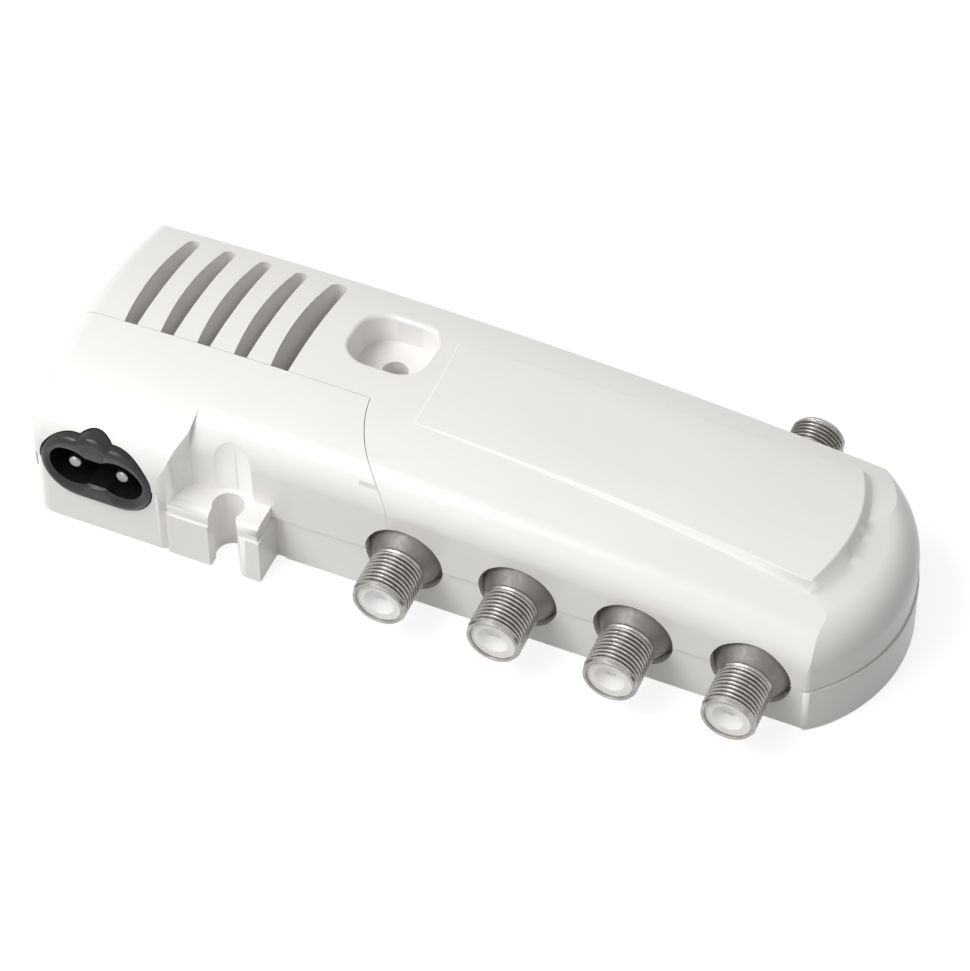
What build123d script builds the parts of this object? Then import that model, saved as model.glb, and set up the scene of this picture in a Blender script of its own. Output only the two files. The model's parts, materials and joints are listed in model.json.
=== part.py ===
"""Mains-powered television signal amplifier with four outputs and one input.

+X points to the rounded end, -Y is the front with the four output ports, +Z is up.
The origin lies in the plane that the housing stands on, under the middle of the object.
"""
import os
from math import asin, atan2, cos, pi, radians, sin, sqrt, tan

from build123d import *

os.makedirs("parts", exist_ok=True)

# Housing, overall sizes
body_length = 142.5
body_width = 41.2
base_height = 10.0
cover_height = 18.5
wall = 2.0
seam_gap = 0.1
right_bow = 9.5
corner_radius = 1.6
base_inset = 0.25
bottom_radius = 0.6
parting_groove = 0.35
parting_groove_depth = 0.5
end_lip = 0.7
inner_clearance = 0.3

# Crown of the top cover
crown_apex_from_left = 35.25
crown_apex_y = -2.5
crown_end_fall = 7.04
crown_back_fall = 4.17
crown_front_fall = 1.81
shoulder_radius = 7.0
end_shoulder_rise = 4.5
end_shoulder_radius = 7.0
end_slope = 14.0
left_end_radius = 3.0

# Raised label panel on the crown, its outline measured where it is this far under the top
panel_drop = 5.2
panel_from_left = 57.25
panel_from_right = 10.05
panel_front_bow = 3.0
panel_back_bow = 4.6
panel_from_front = 9.9
panel_from_back = 5.4
panel_end_fall = 5.1
panel_side_slope = 35.0
panel_edge_radius = 0.5
panel_root = 4.0

# Power section: deeper block, screw shelf and its own cover
power_step = 6.0
power_parting_rise = 4.0
block_wall_lean = 2.2
block_corner_radius = 2.2
shelf_rise = 2.4
shelf_length = 16.6
shelf_rim_radius = 1.6
shelf_cover_inset = 0.4
slot_width = 4.5
slot_from_block = 9.7
slot_seat_depth = 3.6
slot_seat_radius = 2.7
post_corner_radius = 2.2
post_relief_width = 1.6
post_relief_depth = 0.5
scoop_radius = 5.0
scoop_depth = 1.3
scoop_wall = 1.2
seam_from_front = 15.0
seam_corner_from_left = 52.05
seam_bow = 2.0
seam_foot_from_port = 2.9
parting_step_run = 2.0
parting_step_offset = 0.4

# Vent slots across the crown
vent_count = 5
vent_pitch = 6.6
vent_first_from_left = 8.05
vent_width = 2.3
vent_last_width = 3.1
vent_bow = 0.7
vent_from_back = 2.4
vent_rib_depth = 7.0
vent_fin = 1.0

# Fixing-screw well in the top cover
well_from_left = 50.35
well_from_back = 13.1
well_length = 13.6
well_width = 12.8
well_corner = 4.6
well_depth = 7.6
well_wall = 1.5
well_rim_radius = 0.8
fixing_hole_radius = 2.25
fixing_boss_radius = 4.5

# Ports
port_pitch = 19.8
port_count = 4
port_from_right = 18.85
port_in_offset = 7.4
port_reach = 10.1
port_recess_radius = 6.8
thread_radius = 4.76
thread_length = 8.4
thread_flat_depth = 0.24
neck_depth = 0.26
port_chamfer = 0.45
flange_radius = 6.4
flange_setback = 1.2
barrel_radius = 4.3
barrel_length = 2.2
insulator_radius = 3.6
insulator_setback = 0.5
dimple_depth = 1.0
dimple_radius = 2.6
contact_radius = 0.8
contact_slit = (1.8, 0.6)
contact_slit_depth = 1.0
contact_split = 0.3
contact_split_length = 3.0
contact_overhang = 1.6
contact_tail_thickness = 0.5

# Mains inlet with its socket and pins
inlet_pin_spacing = 8.6
inlet_pin_radius = 1.2
inlet_shank_radius = 1.6
inlet_pin_setback = 0.8
inlet_pin_rounding = 0.65
inlet_cavity_radius = 4.1
inlet_cavity_depth = 11.0
inlet_waist = 6.2
inlet_side_rim = 1.6
inlet_edge_rim = 2.8
inlet_flat = 0.4
inlet_key_height = 1.2
inlet_key_radius = 4.0
inlet_rim_radius = 1.0
inlet_lead = 0.5
inlet_lead_slope = 35.0
inlet_lead_depth = 0.6
inlet_depth = 14.0
inlet_proud = 0.4
inlet_gap = 0.15
inlet_left_margin = 2.25
inlet_right_margin = 2.4
inlet_tail = 3.0
inlet_leg_radius = 0.6

# Amplifier module: screening case, board and what it carries
shield_left_margin = 8.0
shield_right_margin = 7.0
shield_below_axis = 7.0
shield_above_axis = 5.6
sheet = 0.8
shield_foot_inset = 8.0
shield_foot_y = 10.0
lid_hole_radius = 1.2
lid_hole_pitch = (10.0, 10.0)
lid_hole_count = (6, 2)
spacer_size = 3.0
spacer_height = 1.4
board_gap = 0.4
board_thickness = 1.6
core_size = (6.0, 4.4, 4.0)
core_y = -3.0
core_corner = 1.2
core_hole_radius = 0.8
core_hole_spacing = 2.6
chip_size = (5.0, 4.0, 1.6)
chip_offset = (-11.0, 7.0)
chip_lead_pitch = 1.27
chip_lead_row = 6.0
chip_lead_count = 4
chip_lead_size = (0.4, 1.4, 0.4)
rf_capacitor_offset = (-31.0, 9.0)
rf_capacitor_radius = 3.2
rf_capacitor_height = 5.6

# Power board, its components placed from its left edge and the housing's middle
power_board_lift = 2.4
power_board_from_left = 4.65
power_board_length = 32.0
power_board_side_gap = 3.4
standoff_radius = 2.2
standoff_inset = 4.0
standoff_back_inset = 10.0
transformer_place = (10.0, 2.0)
core_width = 15.0
core_depth = 9.0
core_height = 11.5
core_leg = 4.0
bobbin_base = 1.2
winding_length = 14.0
winding_height = 7.4
winding_corner = 1.5
bulk_capacitor_place = (26.0, -5.4)
bulk_capacitor_radius = 5.0
bulk_capacitor_height = 12.5
output_capacitor_place = (25.6, 6.6)
output_capacitor_radius = 4.0
output_capacitor_height = 11.0
choke_place = (21.6, 13.4)
choke_radius = 3.2
choke_height = 7.0
choke_flange = 1.0
choke_waist = 0.8
fuse_place = (24.6, -13.8)
fuse_radius = 2.6
fuse_length = 11.0
fuse_cap = 2.6
fuse_cap_step = 0.2
fuse_lift = 0.4
clip_inset = 0.8
clip_thickness = 1.0
clip_side = 0.4
rectifier_place = (10.0, -7.4)
rectifier_size = (6.4, 4.2, 3.2)
rectifier_corner = 0.4

# Rolled groove and scored top of the capacitors' cans
can_groove_share = 0.08
can_groove_low = 1.2
can_groove_high = 2.0
can_score = 0.3

# Case screws
screw_radius = 1.4
screw_hole_gap = 0.1
screw_hole_spare = 1.0
screw_head_radius = 2.7
screw_head_height = 1.8
screw_head_gap = 0.3
screw_reach = 6.0
screw_boss_radius = 3.2
screw_tray_wall = 1.2
screw_well_depth = 2.6
screw_cross = (3.4, 0.8)
screw_side_inset = 7.0
screw_right_inset = 7.25
screw_left_inset = 7.0
screw_middle_from_left = 41.05
screw_power_from_left = 45.25

# Spare length of cuts and construction solids
floor_margin = 6.0
tall = 45.0

# Worked-out places
half_length = body_length / 2
half_width = body_width / 2
crown_top = base_height + cover_height
end_shoulder_height = base_height + end_shoulder_rise
front_y = -half_width
back_y = half_width
power_front_y = front_y - power_step
crown_apex_x = crown_apex_from_left - half_length
crown_reach = half_length - crown_apex_x
crown_sweep = (crown_reach**2 + crown_end_fall**2) / (2 * crown_end_fall)
panel_sweep = (crown_reach**2 + panel_end_fall**2) / (2 * panel_end_fall)
back_reach = back_y - crown_apex_y
crown_back_radius = (back_reach**2 + crown_back_fall**2) / (2 * crown_back_fall)
front_reach = crown_apex_y - front_y - shoulder_radius
crown_front_radius = shoulder_radius + (front_reach**2 + crown_front_fall**2) / (2 * crown_front_fall)
power_parting = base_height + power_parting_rise
shelf_top = base_height + shelf_rise
bow_radius = (right_bow**2 + half_width**2) / (2 * right_bow)
bow_centre_x = half_length - bow_radius

inlet_width = inlet_pin_spacing + 2 * (inlet_cavity_radius + inlet_side_rim)
inlet_height = 2 * (inlet_cavity_radius + inlet_edge_rim)
inlet_x = inlet_left_margin + inlet_width / 2 - half_length
block_right_x = inlet_x + inlet_width / 2 + inlet_right_margin
shelf_right_x = block_right_x + shelf_length
slot_x = block_right_x + slot_from_block

port_axis_z = base_height
port_last_x = half_length - port_from_right
port_xs = [port_last_x - port_pitch * n for n in reversed(range(port_count))]
port_in_x = port_last_x - port_in_offset
ports = [(x, -1) for x in port_xs] + [(port_in_x, 1)]
seam_y = front_y + seam_from_front
seam_corner_x = seam_corner_from_left - half_length
seam_foot_x = port_xs[0] - seam_foot_from_port

well_x = well_from_left - half_length
well_y = back_y - well_from_back
well_floor = crown_top - (well_x - crown_apex_x) ** 2 / (2 * crown_sweep) - well_depth

shield_left_x = port_xs[0] - shield_left_margin
shield_right_x = port_last_x + shield_right_margin
shield_bottom = port_axis_z - shield_below_axis
shield_top = port_axis_z + shield_above_axis
shield_half_width = half_width - wall - inner_clearance
flange_thickness = wall + inner_clearance - flange_setback
rf_board_z = shield_bottom + sheet + spacer_height
shield_feet = [
    (x, y)
    for x in (shield_left_x + shield_foot_inset, shield_right_x - shield_foot_inset)
    for y in (-shield_foot_y, shield_foot_y)
]

power_board_z = wall + power_board_lift
power_board_left_x = power_board_from_left - half_length
power_board_right_x = power_board_left_x + power_board_length
power_board_half_width = half_width - power_board_side_gap
power_standoffs = [
    (x, y)
    for x in (power_board_left_x + standoff_inset, power_board_right_x - standoff_inset)
    for y in (standoff_inset - power_board_half_width, power_board_half_width - standoff_back_inset)
]

screw_side_y = half_width - screw_side_inset
screw_places = [
    (half_length - screw_right_inset, 0.0),
    (screw_left_inset - half_length, screw_side_y),
    (screw_middle_from_left - half_length, screw_side_y),
    (screw_power_from_left - half_length, -screw_side_y),
]
tray_boss_radius = screw_head_radius + screw_head_gap + screw_tray_wall


def swing_plane(sweep, top, angle):
    """Plane through the far axis of the crown, leaning back by the angle."""
    return Plane(
        origin=(crown_apex_x, 0, top - sweep),
        x_dir=(0, 1, 0),
        z_dir=(cos(radians(angle)), 0, sin(radians(angle))),
    )


def crown_body(front, inset=0.0, sweep=crown_sweep, swing=10.0):
    """Everything under the crown: its section swung about a far axis, with a rounded left end."""
    axis_z = crown_top - sweep
    back_centre = (crown_apex_y, crown_top - crown_back_radius - axis_z)
    front_centre = (crown_apex_y, crown_top - crown_front_radius - axis_z)
    shoulder_y = front + shoulder_radius
    reach = crown_front_radius - shoulder_radius
    rise = sqrt(reach**2 - (shoulder_y - crown_apex_y) ** 2)
    shoulder_centre = (shoulder_y, front_centre[1] + rise)
    back_r = crown_back_radius - inset
    front_r = crown_front_radius - inset
    shoulder_r = shoulder_radius - inset
    back_edge = back_y - inset
    back_angle = pi / 2 - asin((back_edge - crown_apex_y) / back_r)
    join_angle = atan2(rise, shoulder_y - crown_apex_y)
    low = -floor_margin - axis_z

    def on(centre, radius, angle):
        return (centre[0] + radius * cos(angle), centre[1] + radius * sin(angle))

    def arc(centre, radius, start, end):
        ThreePointArc(
            on(centre, radius, start), on(centre, radius, (start + end) / 2), on(centre, radius, end)
        )

    with BuildPart() as body:
        with BuildSketch(swing_plane(sweep, crown_top, swing)):
            with BuildLine():
                Line((back_edge, low), on(back_centre, back_r, back_angle))
                arc(back_centre, back_r, back_angle, pi / 2)
                arc(front_centre, front_r, pi / 2, join_angle)
                arc(shoulder_centre, shoulder_r, join_angle, pi)
                Line(on(shoulder_centre, shoulder_r, pi), (front + inset, low))
                Line((front + inset, low), (back_edge, low))
            make_face()
        revolve(axis=Axis((crown_apex_x, 0, axis_z), (0, 1, 0)), revolution_arc=2 * swing)
        left = inset - half_length
        split(bisect_by=Plane(origin=(left, 0, 0), z_dir=(1, 0, 0)), keep=Keep.TOP)
        roof_edges = body.faces().sort_by(Axis.X)[0].edges().filter_by(
            lambda edge: edge.center().Z > power_parting
        )
        fillet(roof_edges, left_end_radius - inset)
    return body.part


def end_limit(inset=0.0):
    """Room inside the bowed right end: its rounded shoulder turned about the bow's centre."""
    radius = bow_radius - inset
    shoulder = end_shoulder_radius - inset
    centre = (radius - shoulder, end_shoulder_height)
    stop = pi / 2 - radians(end_slope)
    lip = (centre[0] + shoulder * cos(stop), centre[1] + shoulder * sin(stop))
    half = (centre[0] + shoulder * cos(stop / 2), centre[1] + shoulder * sin(stop / 2))
    with BuildPart() as limit:
        with BuildSketch(Plane(origin=(bow_centre_x, 0, 0), x_dir=(1, 0, 0), z_dir=(0, -1, 0))):
            with BuildLine():
                Line((0, -floor_margin), (radius, -floor_margin))
                Line((radius, -floor_margin), (radius, end_shoulder_height))
                ThreePointArc((radius, end_shoulder_height), half, lip)
                Line(lip, (0, lip[1] + lip[0] * tan(radians(end_slope))))
                Line((0, lip[1] + lip[0] * tan(radians(end_slope))), (0, -floor_margin))
            make_face()
        revolve(axis=Axis((bow_centre_x, 0, 0), (0, 0, 1)))
        with BuildSketch(Plane.XY.offset(-floor_margin)):
            with Locations(((bow_centre_x - body_length) / 2, 0)):
                Rectangle(bow_centre_x + body_length, 2 * body_width)
        extrude(amount=tall)
    return limit.part


def main_plan(inset=0.0):
    """Plan of the housing without the power block: straight sides and a bowed right end."""
    left = -half_length
    right = half_length - right_bow
    with BuildSketch() as plan:
        with BuildLine():
            Polyline((right, back_y), (left, back_y), (left, front_y), (right, front_y))
            ThreePointArc((right, front_y), (half_length, 0), (right, back_y))
        make_face()
        fillet(plan.vertices(), corner_radius)
        if inset:
            offset(amount=-inset)
    return plan.sketch


def block_plan(inset=0.0):
    """Plan of the deeper block round the mains inlet, with its leaning right side."""
    left = -half_length + inset
    right = block_right_x - inset
    with BuildSketch() as plan:
        with BuildLine():
            Polyline(
                (left, 0),
                (left, power_front_y + inset),
                (right, power_front_y + inset),
                (right + block_wall_lean, front_y + inset),
                (right + block_wall_lean, 0),
                close=True,
            )
        make_face()
        fillet(plan.vertices().sort_by(Axis.Y)[0:2], block_corner_radius)
    return plan.sketch


def under_crown(plan, front, inset=0.0):
    """A plan outline raised until it meets the crown."""
    with BuildPart() as body:
        with BuildSketch(Plane.XY):
            add(plan)
        extrude(amount=tall)
        add(crown_body(front, inset), mode=Mode.INTERSECT)
    return body.part


def housing(inset=0.0):
    """Whole housing as one solid, shrunk by the inset: main body and inlet block."""
    with BuildPart() as body:
        add(under_crown(main_plan(inset), front_y, inset))
        add(end_limit(inset), mode=Mode.INTERSECT)
        add(under_crown(block_plan(inset), power_front_y, inset))
    return body.part


def parting_at(x):
    """Height of the joint between the base and the covers."""
    return power_parting if x < block_right_x else base_height


def base_zone():
    """Space that belongs to the base: higher round the mains inlet, low at the left end's lip."""
    with BuildPart() as zone:
        with BuildSketch(Plane.XZ.offset(-body_width)):
            with BuildLine():
                Polyline(
                    (-body_length, -floor_margin),
                    (body_length, -floor_margin),
                    (body_length, base_height),
                    (block_right_x + parting_step_offset, base_height),
                    (block_right_x + parting_step_offset - parting_step_run, power_parting),
                    (end_lip - half_length, power_parting),
                    (end_lip - half_length, base_height),
                    (-body_length, base_height),
                    close=True,
                )
            make_face()
        extrude(amount=2 * body_width)
    return zone.part


def power_zone(gap=0.0):
    """Space above the parting that belongs to the power cover, bounded by its curved seam."""
    corner = (seam_corner_x + gap, seam_y + gap)
    foot = (seam_foot_x + gap, front_y)
    with BuildPart() as zone:
        with BuildSketch(Plane.XY):
            with BuildLine():
                Line((-body_length, corner[1]), corner)
                SagittaArc(corner, foot, -seam_bow)
                Polyline(foot, (foot[0], -body_width), (-body_length, -body_width), (-body_length, corner[1]))
            make_face()
        extrude(amount=tall)
    return zone.part


def shelf(top, inset=0.0):
    """Screw shelf in front of the power section, up to the given height."""
    right = shelf_right_x - inset
    front = power_front_y + inset
    back = front_y + wall
    with BuildPart() as body:
        with BuildSketch(Plane.XY):
            with Locations(((block_right_x + right) / 2, (front + back) / 2)):
                Rectangle(right - block_right_x, back - front)
        extrude(amount=top)
        if top > base_height:
            rim = body.edges().filter_by(Axis.X).group_by(Axis.Z)[-1].sort_by(Axis.Y)[0]
            fillet(rim, shelf_rim_radius)
    return body.part


def screw_slot():
    """Upright open slot in the shelf: straight mouth, rounded into the post, and a round seat."""
    seat_y = power_front_y + slot_seat_depth
    post_x = slot_x + slot_width / 2
    radius = post_corner_radius
    with BuildPart() as cut:
        with BuildSketch(Plane.XY.offset(-floor_margin)):
            with Locations((post_x + radius / 2, power_front_y + radius / 2)):
                Rectangle(radius, radius)
            with Locations((post_x + radius, power_front_y + radius)):
                Circle(radius, mode=Mode.SUBTRACT)
            with Locations((slot_x, seat_y - power_step / 2)):
                Rectangle(slot_width, power_step)
            with Locations((slot_x, seat_y)):
                Circle(slot_seat_radius)
        extrude(amount=tall)
    return cut.part


def driver_scoop(grow=0.0):
    """Upright round hollow in the front wall, over the slot, for the screw's head and its driver."""
    with BuildPart() as cut:
        with BuildSketch(Plane.XY.offset(shelf_top)):
            with Locations((slot_x, front_y + scoop_depth - scoop_radius)):
                Circle(scoop_radius + grow)
        extrude(amount=tall)
    return cut.part


def port_holes():
    """Round holes for the ports through the front and back walls."""
    with BuildPart() as holes:
        for x, side in ports:
            with BuildSketch(port_face(x, side, wall)):
                Circle(port_recess_radius)
            extrude(amount=-3 * wall)
    return holes.part


def inlet_outline(grow=0.0):
    """Face of the mains inlet: a rounded bar with a small key on top."""
    with BuildSketch() as face:
        RectangleRounded(inlet_width, inlet_height, inlet_height / 2 - inlet_flat)
        with Locations((0, inlet_height / 2 + inlet_key_height - inlet_key_radius)):
            Circle(inlet_key_radius)
        if grow:
            offset(amount=grow)
    return face.sketch


def inlet_plane(y):
    """Plane across the mains inlet, its normal pointing out of the front."""
    return Plane(origin=(inlet_x, y, power_parting), x_dir=(1, 0, 0), z_dir=(0, -1, 0))


def inlet_hole():
    """Hole in the block's front wall that holds the mains inlet."""
    with BuildPart() as hole:
        with BuildSketch(inlet_plane(power_front_y + inlet_depth + inlet_gap)):
            add(inlet_outline(inlet_gap))
        extrude(amount=2 * inlet_depth)
    return hole.part


def well_sketch(grow=0.0):
    """Rounded outline of the fixing-screw well."""
    with BuildSketch() as face:
        with Locations((well_x, well_y)):
            RectangleRounded(
                well_length + 2 * grow, well_width + 2 * grow, well_corner + grow
            )
    return face.sketch


def label_panel():
    """Raised panel for a label: it leaves the crown slowly and ends in a bowed, sloping step."""
    left = panel_from_left - half_length
    right = half_length - panel_from_right
    front = front_y + panel_from_front
    back = back_y - panel_from_back
    spread = panel_root * tan(radians(panel_side_slope))
    with BuildPart() as panel:
        with BuildSketch(Plane.XY.offset(crown_top - panel_drop - panel_root)):
            with BuildLine():
                front_corner = (right - panel_front_bow, front)
                back_corner = (right - panel_back_bow, back)
                Polyline(back_corner, (left, back), (left, front), front_corner)
                ThreePointArc(front_corner, (right, (front + back) / 2), back_corner)
            make_face()
            offset(amount=spread)
        extrude(amount=panel_drop + panel_root, taper=panel_side_slope)
        add(crown_body(front_y, sweep=panel_sweep), mode=Mode.INTERSECT)
        fillet(panel.faces().sort_by(Axis.Z)[-1].edges(), panel_edge_radius)
    return panel.part


def vent_slots(grow, low):
    """The vent slots as upright prisms: bowed to the left, square in front and rounded behind."""
    vent_end = back_y - vent_from_back
    with BuildPart() as slots:
        with BuildSketch(Plane.XY.offset(low)):
            for n in range(vent_count):
                width = vent_last_width if n == vent_count - 1 else vent_width
                left = vent_first_from_left - half_length + n * vent_pitch
                right = left + width
                straight_end = vent_end - width / 2
                with BuildLine():
                    Polyline((left, seam_y), (right, seam_y), (right, straight_end))
                    ThreePointArc((right, straight_end), (left + width / 2, vent_end), (left, straight_end))
                    ThreePointArc(
                        (left, straight_end), (left - vent_bow, (seam_y + straight_end) / 2), (left, seam_y)
                    )
                make_face()
            if grow:
                offset(amount=grow)
                # Nothing of the fins reaches in front of the seam
                with Locations((0, seam_y - body_width / 2)):
                    Rectangle(body_length, body_width, mode=Mode.SUBTRACT)
        extrude(amount=tall)
    return slots.part


def well_rim(part):
    """Edges round the mouth of the fixing-screw well."""
    mouth = well_sketch(seam_gap).face()
    return part.edges().filter_by(
        lambda edge: edge.center().Z > well_floor + well_depth / 2
        and mouth.is_inside((edge.center().X, edge.center().Y, 0))
    )


def socket_outline(grow=0.0):
    """Figure-of-eight mouth of the mains socket."""
    with BuildSketch() as face:
        with Locations((-inlet_pin_spacing / 2, 0), (inlet_pin_spacing / 2, 0)):
            Circle(inlet_cavity_radius + grow)
        Rectangle(inlet_pin_spacing, inlet_waist + 2 * grow)
    return face.sketch


def port_plane(x, side):
    """Plane at a port, with its second axis along the port's axis and out of the wall."""
    return Plane(origin=(x, side * half_width, port_axis_z), x_dir=(1, 0, 0), z_dir=(0, 0, side))


def port_face(x, side, out):
    """Plane across a port at a distance out of the wall, facing outwards."""
    y = side * (half_width + out)
    return Plane(origin=(x, y, port_axis_z), x_dir=(1, 0, 0), z_dir=(0, side, 0))


def port_axis(x):
    """Axis of a port."""
    return Axis((x, 0, port_axis_z), (0, 1, 0))


def port_barrel(x, side):
    """Metal body of a port: threaded barrel, neck, flange and the barrel behind it."""
    flange_front = -flange_setback
    flange_back = flange_front - flange_thickness
    thread_foot = port_reach - thread_length
    inner_end = flange_back - barrel_length
    with BuildPart() as barrel:
        with BuildSketch(port_plane(x, side)):
            with BuildLine():
                Polyline(
                    (insulator_radius, inner_end),
                    (barrel_radius, inner_end),
                    (barrel_radius, flange_back),
                    (flange_radius, flange_back),
                    (flange_radius, flange_front),
                    (thread_radius - neck_depth, flange_front),
                    (thread_radius - neck_depth, thread_foot - port_chamfer),
                    (thread_radius, thread_foot),
                    (thread_radius, port_reach - port_chamfer),
                    (thread_radius - port_chamfer, port_reach),
                    (insulator_radius, port_reach),
                    close=True,
                )
            make_face()
        revolve(axis=port_axis(x))
        # Two flats along the thread, for a spanner
        with BuildSketch(port_face(x, side, thread_foot - port_chamfer)):
            for flat in (-1, 1):
                with Locations((flat * (2 * thread_radius - thread_flat_depth), 0)):
                    Rectangle(2 * thread_radius, 3 * thread_radius)
        extrude(amount=2 * thread_length, mode=Mode.SUBTRACT)
    return barrel


def port_insulator(x, side):
    """White disc and core of a port, dished at the face, with a slit for the contact."""
    front = port_reach - insulator_setback
    back = -flange_setback - flange_thickness - barrel_length
    with BuildPart() as insulator:
        with BuildSketch(port_plane(x, side)):
            with BuildLine():
                Polyline(
                    (0, back),
                    (insulator_radius, back),
                    (insulator_radius, front),
                    (dimple_radius, front),
                    (contact_radius, front - dimple_depth),
                    (0, front - dimple_depth),
                    close=True,
                )
            make_face()
        revolve(axis=port_axis(x))
        with BuildSketch(port_face(x, side, front)):
            SlotOverall(*contact_slit)
        extrude(amount=-dimple_depth - contact_slit_depth, mode=Mode.SUBTRACT)
        with BuildSketch(port_face(x, side, back)):
            Circle(contact_radius)
        extrude(amount=front - back - dimple_depth - contact_slit_depth, mode=Mode.SUBTRACT)
    return insulator


def port_contact(x, side):
    """Inner contact of a port: a split spring sleeve with a tail down to the board."""
    front = port_reach - insulator_setback - dimple_depth - contact_slit_depth
    back = -flange_setback - flange_thickness - barrel_length - contact_overhang
    tail_y = side * (half_width + back + contact_radius)
    board_top = rf_board_z + board_thickness
    with BuildPart() as contact:
        with BuildSketch(port_face(x, side, front)):
            Circle(contact_radius)
        extrude(amount=back - front)
        with BuildSketch(port_face(x, side, front)):
            Rectangle(2 * contact_radius, contact_split)
        extrude(amount=-contact_split_length, mode=Mode.SUBTRACT)
        with BuildSketch(Plane.XY.offset(board_top)):
            with Locations((x, tail_y)):
                Rectangle(contact_radius, contact_tail_thickness)
        extrude(amount=port_axis_z - board_top)
    return contact


def block(centre, size, low, corner=0.0):
    """Upright block with a plan centre, a plan size and height, standing at the given level."""
    with BuildPart() as piece:
        with BuildSketch(Plane.XY.offset(low)):
            with Locations(centre):
                if corner:
                    RectangleRounded(size[0], size[1], corner)
                else:
                    Rectangle(size[0], size[1])
        extrude(amount=size[2])
    return piece.part


def can(centre, radius, height, low):
    """Electrolytic capacitor: a can with a rolled groove near its foot and a scored top."""
    groove = radius * can_groove_share
    with BuildPart() as piece:
        with BuildSketch(Plane(origin=(*centre, low), x_dir=(1, 0, 0), z_dir=(0, -1, 0))):
            with BuildLine():
                Polyline(
                    (0, 0),
                    (radius, 0),
                    (radius, can_groove_low),
                    (radius - groove, (can_groove_low + can_groove_high) / 2),
                    (radius, can_groove_high),
                    (radius, height - groove),
                    (radius - groove, height),
                    (0, height),
                    close=True,
                )
            make_face()
        revolve(axis=Axis((*centre, 0), (0, 0, 1)))
        with BuildSketch(Plane.XY.offset(low + height)):
            with Locations(centre):
                Rectangle(radius, can_score)
                Rectangle(can_score, radius)
        extrude(amount=-can_score, mode=Mode.SUBTRACT)
    return piece


def board_spot(place):
    """Place in the housing of a component given from the power board's left edge."""
    return (power_board_left_x + place[0], place[1])


def save(piece, label):
    """Label a finished piece and write its file."""
    piece.part.label = label
    export_step(piece.part, f"parts/{label}.step")


outer_shell = housing()
inner = housing(wall)
base_space = base_zone()
port_space = port_holes()
inlet_space = inlet_hole()
slot_space = screw_slot()

with BuildPart() as outside:
    add(outer_shell)
    add(label_panel())
    add(shelf(shelf_top, shelf_cover_inset))

# Upper half of the housing, before its seam divides it
with BuildPart() as covers:
    add(outside.part)
    add(inner, mode=Mode.SUBTRACT)
    # Wall of the well, and the boss that leads the fixing screw down
    with BuildSketch(Plane.XY.offset(well_floor - well_wall)):
        add(well_sketch(well_wall))
    extrude(amount=tall)
    with BuildSketch(Plane.XY.offset(base_height)):
        with Locations((well_x, well_y)):
            Circle(fixing_boss_radius)
    extrude(amount=well_floor - base_height)
    # Fins that line the vent slots, and the wall behind the driver's hollow
    add(vent_slots(vent_fin, crown_top - wall - vent_rib_depth))
    add(driver_scoop(scoop_wall))
    # Screw bosses
    for x, y in screw_places:
        with BuildSketch(Plane.XY.offset(parting_at(x))):
            with Locations((x, y)):
                Circle(screw_boss_radius)
        extrude(amount=tall)
    add(outside.part, mode=Mode.INTERSECT)
    for space in (base_space, port_space, inlet_space, slot_space, driver_scoop()):
        add(space, mode=Mode.SUBTRACT)
    for x, y in screw_places:
        with BuildSketch(Plane.XY.offset(parting_at(x))):
            with Locations((x, y)):
                Circle(screw_radius + screw_hole_gap)
        extrude(amount=screw_reach + screw_hole_spare, mode=Mode.SUBTRACT)
    with BuildSketch(Plane.XY):
        with Locations((well_x, well_y)):
            Circle(fixing_hole_radius)
    extrude(amount=tall, mode=Mode.SUBTRACT)
    with BuildSketch(Plane.XY.offset(well_floor)):
        add(well_sketch())
    extrude(amount=tall, mode=Mode.SUBTRACT)

with BuildPart() as top_cover:
    add(covers.part)
    add(power_zone(seam_gap), mode=Mode.SUBTRACT)
    add(vent_slots(0.0, 0.0), mode=Mode.SUBTRACT)
    fillet(well_rim(top_cover), well_rim_radius)
save(top_cover, "top_cover")

with BuildPart() as power_cover:
    add(covers.part)
    add(power_zone(), mode=Mode.INTERSECT)
save(power_cover, "power_cover")

with BuildPart() as tray_room:
    add(inner)
    split(bisect_by=Plane.XY.offset(wall), keep=Keep.TOP)

# Shadow groove along the parting: the base's topmost layer, outside a core that keeps its height
with BuildPart() as groove:
    add(base_space)
    add(base_space.moved(Location((0, 0, -parting_groove))), mode=Mode.SUBTRACT)
    add(housing(base_inset + parting_groove_depth), mode=Mode.SUBTRACT)
    add(shelf(base_height, parting_groove_depth), mode=Mode.SUBTRACT)

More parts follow.
